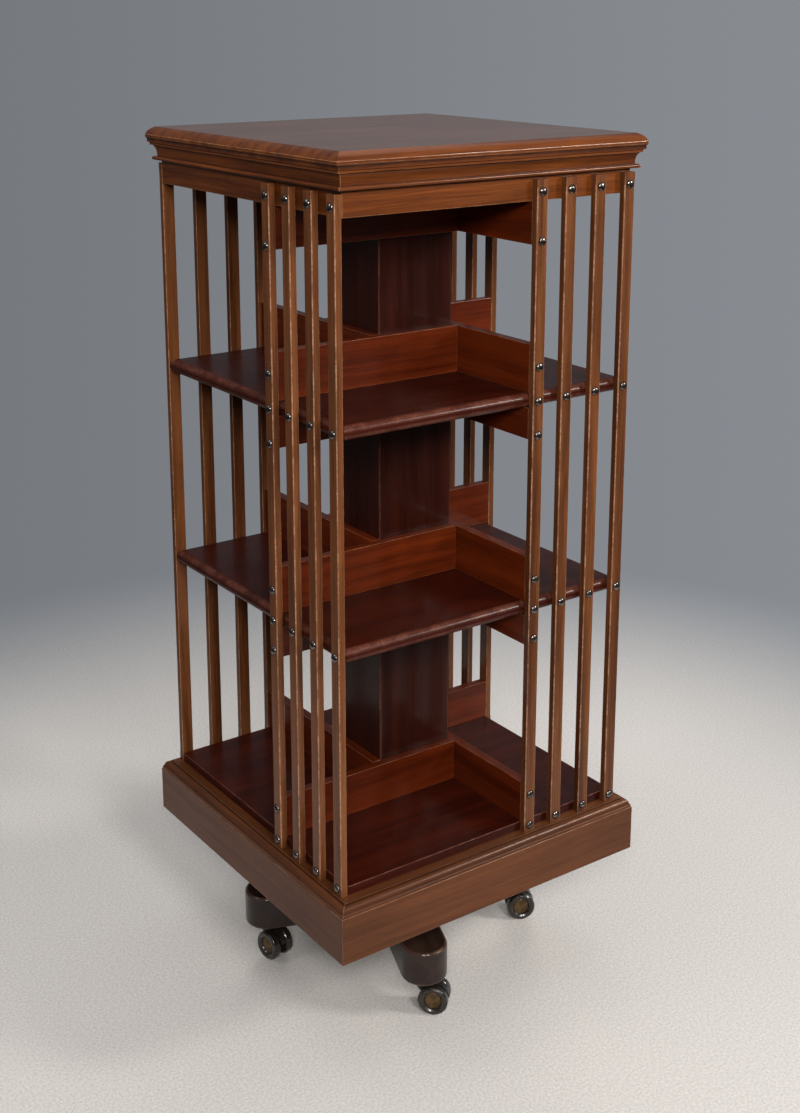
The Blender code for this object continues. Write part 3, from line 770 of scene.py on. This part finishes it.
rail_thick = 0.0137
rail_near = column_half + CLEARANCE
rail_count = 0
for kind in ("book_stop", "hanging"):
    for tier in TIERS:
        node = f"{kind}_rails_{tier}"
        low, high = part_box(node)
        for index, face in enumerate(FACES):
            rail_low = (rail_near, -high.x, low.z)
            rail_high = (rail_near + rail_thick - CLEARANCE, rail_near - 0.0001, high.z)
            rail_bm = board(rail_low, rail_high, 0.0009)
            place_piece(f"{kind}_rail_{tier}_{face}", rail_bm, RAIL_WOOD, "carcass", [node],
                        along="y", matrix=face_turn(index))
            rail_count += 1
print(rail_count, "rails")

# %% [markdown]
# ## Slats
# A slat is a strip of 18 by 10 mm. Its long edges are chamfered, and the chamfers stop short of both ends,
# so the ends stay square where they meet the moulding. That makes it a loft of a few sections: square,
# the run-out, the long chamfered stretch, and back again.

# %% Slats
slat_low, slat_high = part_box("slat_front_1")
slat_half = (slat_high.x - slat_low.x) / 2
SLAT_CHAMFER = 0.0017
SQUARE_END = 0.0004


def slat_section(chamfer, z):
    """One section of a slat, the outer face at slat_low.y."""
    corners = [(-slat_half, slat_low.y, chamfer), (slat_half, slat_low.y, chamfer),
               (slat_half, slat_high.y, chamfer * 0.6), (-slat_half, slat_high.y, chamfer * 0.6)]
    return [(x, y, z, wear_and_light) for x, y, wear_and_light in soften(corners, 3)]


RUN_OUT = [(0.0, SQUARE_END), (0.0090, SQUARE_END), (0.0115, 0.0008), (0.0150, 0.0014),
           (0.0200, SLAT_CHAMFER)]
slat_stations = [(slat_low.z + up, chamfer) for up, chamfer in RUN_OUT]
slat_stations += [(slat_high.z - up, chamfer) for up, chamfer in reversed(RUN_OUT)]
for index, face in enumerate(FACES):
    for number in range(1, 5):
        node = f"slat_{face}_{number}"
        front_low, front_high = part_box(f"slat_front_{number}")
        centre = (front_low.x + front_high.x) / 2
        slat_bm = loft([slat_section(chamfer, z) for z, chamfer in slat_stations])
        place_piece(f"slat_strip_{face}_{number}", slat_bm, SLAT_WOOD, "carcass", [node],
                    along="z", matrix=face_turn(index) @ Matrix.Translation((centre, 0.0, 0.0)))
print("slats", round(2000 * slat_half, 1), "mm wide")

# %% [markdown]
# ## Slat screws
# Each slat is held by four dome-headed screws: one into the frieze, one into the edge of each upper shelf
# and one at its foot. The inner slat also has one in the end of each rail, which makes ten. A dome is a
# stack of circles on the slat's face, with a short upright rim under it.

# %% Screws
SCREW_RADIUS = 0.0062
SCREW_HEIGHT = 0.0038
SCREW_RIM = 0.0005


def dome_loops(x, z, face_y):
    """Circles of a dome head that stands on a slat's outer face."""
    loops = []
    rows = [(SCREW_RADIUS - 0.0002, 0.0), (SCREW_RADIUS, SCREW_RIM * 0.5), (SCREW_RADIUS, SCREW_RIM)]
    for step in range(1, 7):
        angle = QUARTER * step / 6.4
        rise = (SCREW_HEIGHT - SCREW_RIM) * math.sin(angle)
        rows.append((SCREW_RADIUS * math.cos(angle), SCREW_RIM + rise))
    for radius, out in rows:
        turns = [2 * math.pi * i / 24 for i in range(24)]
        loops.append([(x + radius * math.cos(t), face_y - out, z + radius * math.sin(t), 0.0) for t in turns])
    return loops


shelf_levels = [(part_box(n)[0].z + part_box(n)[1].z) / 2 for n in ("middle_shelf", "upper_shelf")]
outer_levels = [slat_low.z + 0.0100] + shelf_levels + [frieze_low.z + 0.0130]
STOP_SCREW_UP = {"upper": 0.0370, "middle": 0.0340, "lower": 0.0447}
HANGING_SCREW_UP = {"upper": 0.0055, "middle": 0.0070, "lower": 0.0110}
rail_levels = [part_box("book_stop_rails_" + tier)[0].z + up for tier, up in STOP_SCREW_UP.items()]
rail_levels += [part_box("hanging_rails_" + tier)[0].z + up for tier, up in HANGING_SCREW_UP.items()]
screw_count = 0
for index, face in enumerate(FACES):
    screws_bm = bmesh.new()
    for number in range(1, 5):
        front_low, front_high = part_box(f"slat_front_{number}")
        centre = (front_low.x + front_high.x) / 2
        for level in outer_levels + (rail_levels if number == 1 else []):
            loft(dome_loops(centre, level, slat_low.y), bm=screws_bm)
            screw_count += 1
    place_piece("slat_screws_" + face, screws_bm, SCREW_STEEL, "carcass", [],
                matrix=face_turn(index))
print(screw_count, "dome-headed screws")

# %% [markdown]
# ## Plinth and base moulding
# Four boards mitred at the corners hide the cross, and a moulded frame on top of them carries the slats:
# a flat band, a small step, an ovolo and a fillet. The plinth's outer arrises are well rounded.

# %% Plinth and base moulding
plinth_low, plinth_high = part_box("plinth_front")
plinth_half = -plinth_low.y
plinth_inner = -plinth_high.y
plinth_outline = soften([(plinth_inner, plinth_low.z, 0.0), (plinth_half, plinth_low.z, 0.0016),
                         (plinth_half, plinth_high.z, 0.0012), (plinth_inner, plinth_high.z, 0.0)], 4)
moulding_low, moulding_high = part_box("base_moulding")
moulding_half = moulding_high.x
MOULDING_INNER = 0.2150
OVOLO_OUT = 0.0068
seat = moulding_high.z
ovolo_top = seat - 0.0022
ovolo_foot = moulding_low.z + 0.0030
band_half = moulding_half - 0.0106
moulding_corners = [(MOULDING_INNER, seat, 0.0), (band_half, seat, 0.0004), (band_half, ovolo_top, 0.0)]
for step in range(8):
    angle = QUARTER * step / 8
    moulding_corners.append((band_half + 0.0020 + OVOLO_OUT * math.sin(angle),
                             ovolo_foot + (ovolo_top - ovolo_foot) * math.cos(angle), 0.0))
moulding_corners += [(moulding_half, ovolo_foot, 0.0005), (moulding_half, moulding_low.z, 0.0),
                     (MOULDING_INNER, moulding_low.z, 0.0)]
moulding_outline = soften(moulding_corners, 2)
for index, face in enumerate(FACES):
    place_piece("plinth_board_" + face, mitred_length(plinth_outline), PLINTH_WOOD, "carcass",
                ["plinth_" + face], along="x", matrix=face_turn(index))
    place_piece("base_moulding_" + face, mitred_length(moulding_outline), PLINTH_WOOD, "carcass",
                ["base_moulding"], along="x", matrix=face_turn(index))
print("plinth", round(2000 * plinth_half), "mm square")

# %% [markdown]
# ## Cross base
# Two arms with round ends cross under the plinth, one let into the other by half its depth. Their
# direction and reach come from the castors' swivel joints. A stack of stadium outlines gives each arm its
# rounded arrises, and Boolean cutters make the lap and the sockets for the castors' stems.

# %% Arms
def stadium(reach, half_width, z, wear_and_light):
    """A ring of points with two straight sides and two round ends."""
    loop = []
    for end_sign in (1, -1):
        for step in range(17):
            angle = -QUARTER + math.pi * step / 16 + (0.0 if end_sign > 0 else math.pi)
            x = end_sign * reach + half_width * math.cos(angle)
            loop.append((x, half_width * math.sin(angle), z, wear_and_light))
    return loop


def cut_away(piece, cutters):
    """Subtract the cutters from a piece for good, then remove them."""
    for cutter in cutters:
        modifier = piece.modifiers.new("cut", "BOOLEAN")
        modifier.operation = "DIFFERENCE"
        modifier.solver = "EXACT"
        modifier.object = cutter
    evaluated = piece.evaluated_get(bpy.context.evaluated_depsgraph_get())
    cut_mesh = bpy.data.meshes.new_from_object(evaluated)
    piece.modifiers.clear()
    piece.data = cut_mesh
    for cutter in cutters:
        bpy.data.objects.remove(cutter, do_unlink=True)


def scratch_object(name, bm, matrix):
    """A helper object that is removed again."""
    mesh = bpy.data.meshes.new(name)
    bm.to_mesh(mesh)
    bm.free()
    made = bpy.data.objects.new(name, mesh)
    bpy.context.scene.collection.objects.link(made)
    made.matrix_world = matrix
    return made


arm_low, arm_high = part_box("cross_arm_long")
ARM_HALF_WIDTH = 0.0340
ARM_ROUNDING = 0.0050
front_foot = Vector(JOINTS["castor_front_swivel"]["pos_m"])
arm_reach = math.hypot(front_foot.x, front_foot.y)
arm_angle = math.atan2(front_foot.y, front_foot.x)
arm_middle = (arm_low.z + arm_high.z) / 2
print("arms reach", round(arm_reach, 4), "towards", round(math.degrees(arm_angle), 1), "degrees")

# %% Arms, continued: rounded stacks with the lap and the sockets cut
STEM_RADIUS = 0.0050
SOCKET_RADIUS = 0.0053
SOCKET_DEPTH = 0.038
arm_section = []
for base_z, sign in ((arm_low.z, -1), (arm_high.z, 1)):
    rows = []
    for step in range(6):
        angle = QUARTER * step / 5
        inset = ARM_ROUNDING * (1 - math.sin(angle)) if sign < 0 else ARM_ROUNDING * (1 - math.cos(angle))
        rise = ARM_ROUNDING * (1 - math.cos(angle)) if sign < 0 else -ARM_ROUNDING * (1 - math.sin(angle))
        rows.append((inset, base_z + rise, math.sin(math.pi * step / 5)))
    arm_section += rows
LAP_CUTS = {"long": (0.0, arm_low.z - 0.01, arm_middle), "short": (QUARTER, arm_middle, arm_high.z + 0.01)}
for name, (turn, cut_from, cut_to) in LAP_CUTS.items():
    arm_place = Matrix.Rotation(arm_angle + turn, 4, "Z")
    arm_bm = loft([stadium(arm_reach, ARM_HALF_WIDTH - inset, z, wear_and_light) for inset, z, wear_and_light in arm_section])
    arm_piece = place_piece("cross_arm_" + name + "_timber", arm_bm, CROSS_WOOD, "base",
                            ["cross_arm_" + name], along="x", matrix=arm_place)
    lap = ARM_HALF_WIDTH + CLEARANCE
    lap_bm = board((-lap, -0.05, cut_from), (lap, 0.05, cut_to), 0.0002)
    cutters = [scratch_object("lap_cutter", lap_bm, arm_place)]
    for side in (-1, 1):
        turns = [2 * math.pi * i / 24 for i in range(24)]
        rings = [[(side * arm_reach + SOCKET_RADIUS * math.cos(t), SOCKET_RADIUS * math.sin(t), z, 0.0)
                  for t in turns] for z in (arm_low.z - 0.01, arm_low.z + SOCKET_DEPTH)]
        cutters.append(scratch_object("socket_cutter", loft(rings), arm_place))
    cut_away(arm_piece, cutters)
print("arms cut")

# %% [markdown]
# ## Castors
# Each castor has a dark hood that swivels in the arm, an axle, and two wheels that roll on their own. The
# wheels' places come from the joints. A wheel is turned: tread with rounded shoulders, a sunk face, and
# a slightly domed bronze hub cap as its own piece.

# %% Castor parts
def turned_loops(profile, steps=40):
    """Circles about Z from a profile of (radius, height, worn)."""
    turns = [2 * math.pi * i / steps for i in range(steps)]
    return [[(radius * math.cos(t), radius * math.sin(t), z, wear_and_light) for t in turns]
            for radius, z, wear_and_light in profile]


WHEEL_RADIUS = 0.0220
WHEEL_HALF = 0.0065
WHEEL_APART = 0.01225
tyre_outline = soften([
    (0.0122, 0.0026, 0.0), (0.0136, 0.0046, 0.0006), (0.0160, 0.0063, 0.0010), (0.0196, WHEEL_HALF, 0.0014),
    (WHEEL_RADIUS, 0.0040, 0.0014), (WHEEL_RADIUS, -0.0040, 0.0015), (0.0205, -WHEEL_HALF, 0.0008),
    (0.0044, -WHEEL_HALF, 0.0), (0.0044, 0.0016, 0.0), (0.0122, 0.0016, 0.0)], 3)
hub_outline = [(0.0121, 0.0018, 0.0), (0.0121, 0.0024, 0.5), (0.0116, 0.0028, 1.0), (0.0106, 0.0028, 0.0),
               (0.0085, 0.0031, 0.0), (0.0055, 0.0033, 0.0), (0.0025, 0.0034, 0.0), (0.0006, 0.00345, 0.0)]
print("tyre outline has", len(tyre_outline), "points")

# %% The web of a castor's hood
WEB_REACH = 0.0098
WEB_HALF = 0.0052
WEB_ARCS = ((0.0118, 200.0, 160.0), (0.0226, 15.0, 75.0))


def hood_web(trail, axle_height, top):
    """The web between the wheels: a plate with a nose over the axle."""
    outline = [(-WEB_REACH, top), (-WEB_REACH, 0.0380)]
    for radius, start_angle, sweep in WEB_ARCS:
        for step in range(9):
            angle = math.radians(start_angle + sweep * step / 8)
            outline.append((trail + radius * math.cos(angle), axle_height + radius * math.sin(angle)))
    outline.append((WEB_REACH, top))
    return loft([[(x, y, z, 0.0) for x, z in outline] for y in (-WEB_HALF, WEB_HALF)])


print("web arcs:", WEB_ARCS)


# %% Castors in place
for name in FACES:
    swivel = Vector(JOINTS[f"castor_{name}_swivel"]["pos_m"])
    axle = (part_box(f"castor_{name}_axle")[0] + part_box(f"castor_{name}_axle")[1]) / 2
    trail_angle = math.atan2(axle.y - swivel.y, axle.x - swivel.x)
    trail = math.hypot(axle.y - swivel.y, axle.x - swivel.x)
    foot = Matrix.Translation((swivel.x, swivel.y, 0.0)) @ Matrix.Rotation(trail_angle, 4, "Z")
    stem_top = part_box(f"castor_{name}_hood")[1].z
    housing_top = arm_low.z - CLEARANCE
    hood_bm = hood_web(trail, axle.z, housing_top - 0.0040)
    housing = [(0.0112, 0.0462, 0.0), (0.0122, 0.0470, 1.0), (0.0125, 0.0482, 0.0),
               (0.0125, housing_top - 0.0040, 0.0), (0.0150, housing_top - 0.0032, 0.0),
               (0.0158, housing_top - 0.0022, 1.0), (0.0158, housing_top, 0.0),
               (STEM_RADIUS, housing_top, 0.0), (STEM_RADIUS, stem_top - 0.001, 0.0),
               (0.0042, stem_top, 0.0)]
    loft(turned_loops(housing), bm=hood_bm)
    place_piece(f"castor_{name}_hood_casting", hood_bm, HOOD_MOULDING, f"castor_{name}",
                [f"castor_{name}_hood"], matrix=foot)
    for label, side in (("outer", -1), ("inner", 1)):
        wheel_place = foot @ Matrix.Translation((trail, side * WHEEL_APART, axle.z))
        wheel_place = wheel_place @ Matrix.Rotation(-side * QUARTER, 4, "X")
        body = f"castor_{name}_wheel_{label}"
        tyre_bm = loft(turned_loops(tyre_outline), joined=True)
        place_piece(f"castor_{name}_tyre_{label}", tyre_bm, WHEEL_MOULDING, body, [body],
                    matrix=wheel_place)
        hub_bm = loft(turned_loops(hub_outline))
        place_piece(f"castor_{name}_hub_{label}", hub_bm, HUB_BRONZE, body, [body],
                    matrix=wheel_place)
print("castors at", [tuple(round(v, 3) for v in JOINTS[f"castor_{n}_swivel"]["pos_m"]) for n in FACES])

# %% [markdown]
# ## Solids that stay as they are
# The post, its bearings, the board that the carcass hangs from and the castors' axles already have their
# true shape. They keep it and only get a finish.

# %% Finishes for the carried-over solids
KEPT = {"sub_top": INNER_WOOD, "post": POST_WOOD, "post_flange": IRON, "pivot_pin": STEEL,
        "pivot_cup": BRASS, "guide_collar": BRASS}
for name in FACES:
    KEPT[f"castor_{name}_axle"] = STEEL
for node, material in KEPT.items():
    kept = frame["nodes"][node]
    kept.data.materials.clear()
    kept.data.materials.append(material)
    kept.data.shade_smooth()
    kept.data.set_sharp_from_angle(angle=math.radians(30.0))
print("kept solids:", sorted(KEPT))

# %% [markdown]
# ## Sizes
# The box round every shown piece of the visual model is measured. The visual model has to stay
# inside the imported one.

# %% Measure the sizes
low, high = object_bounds()
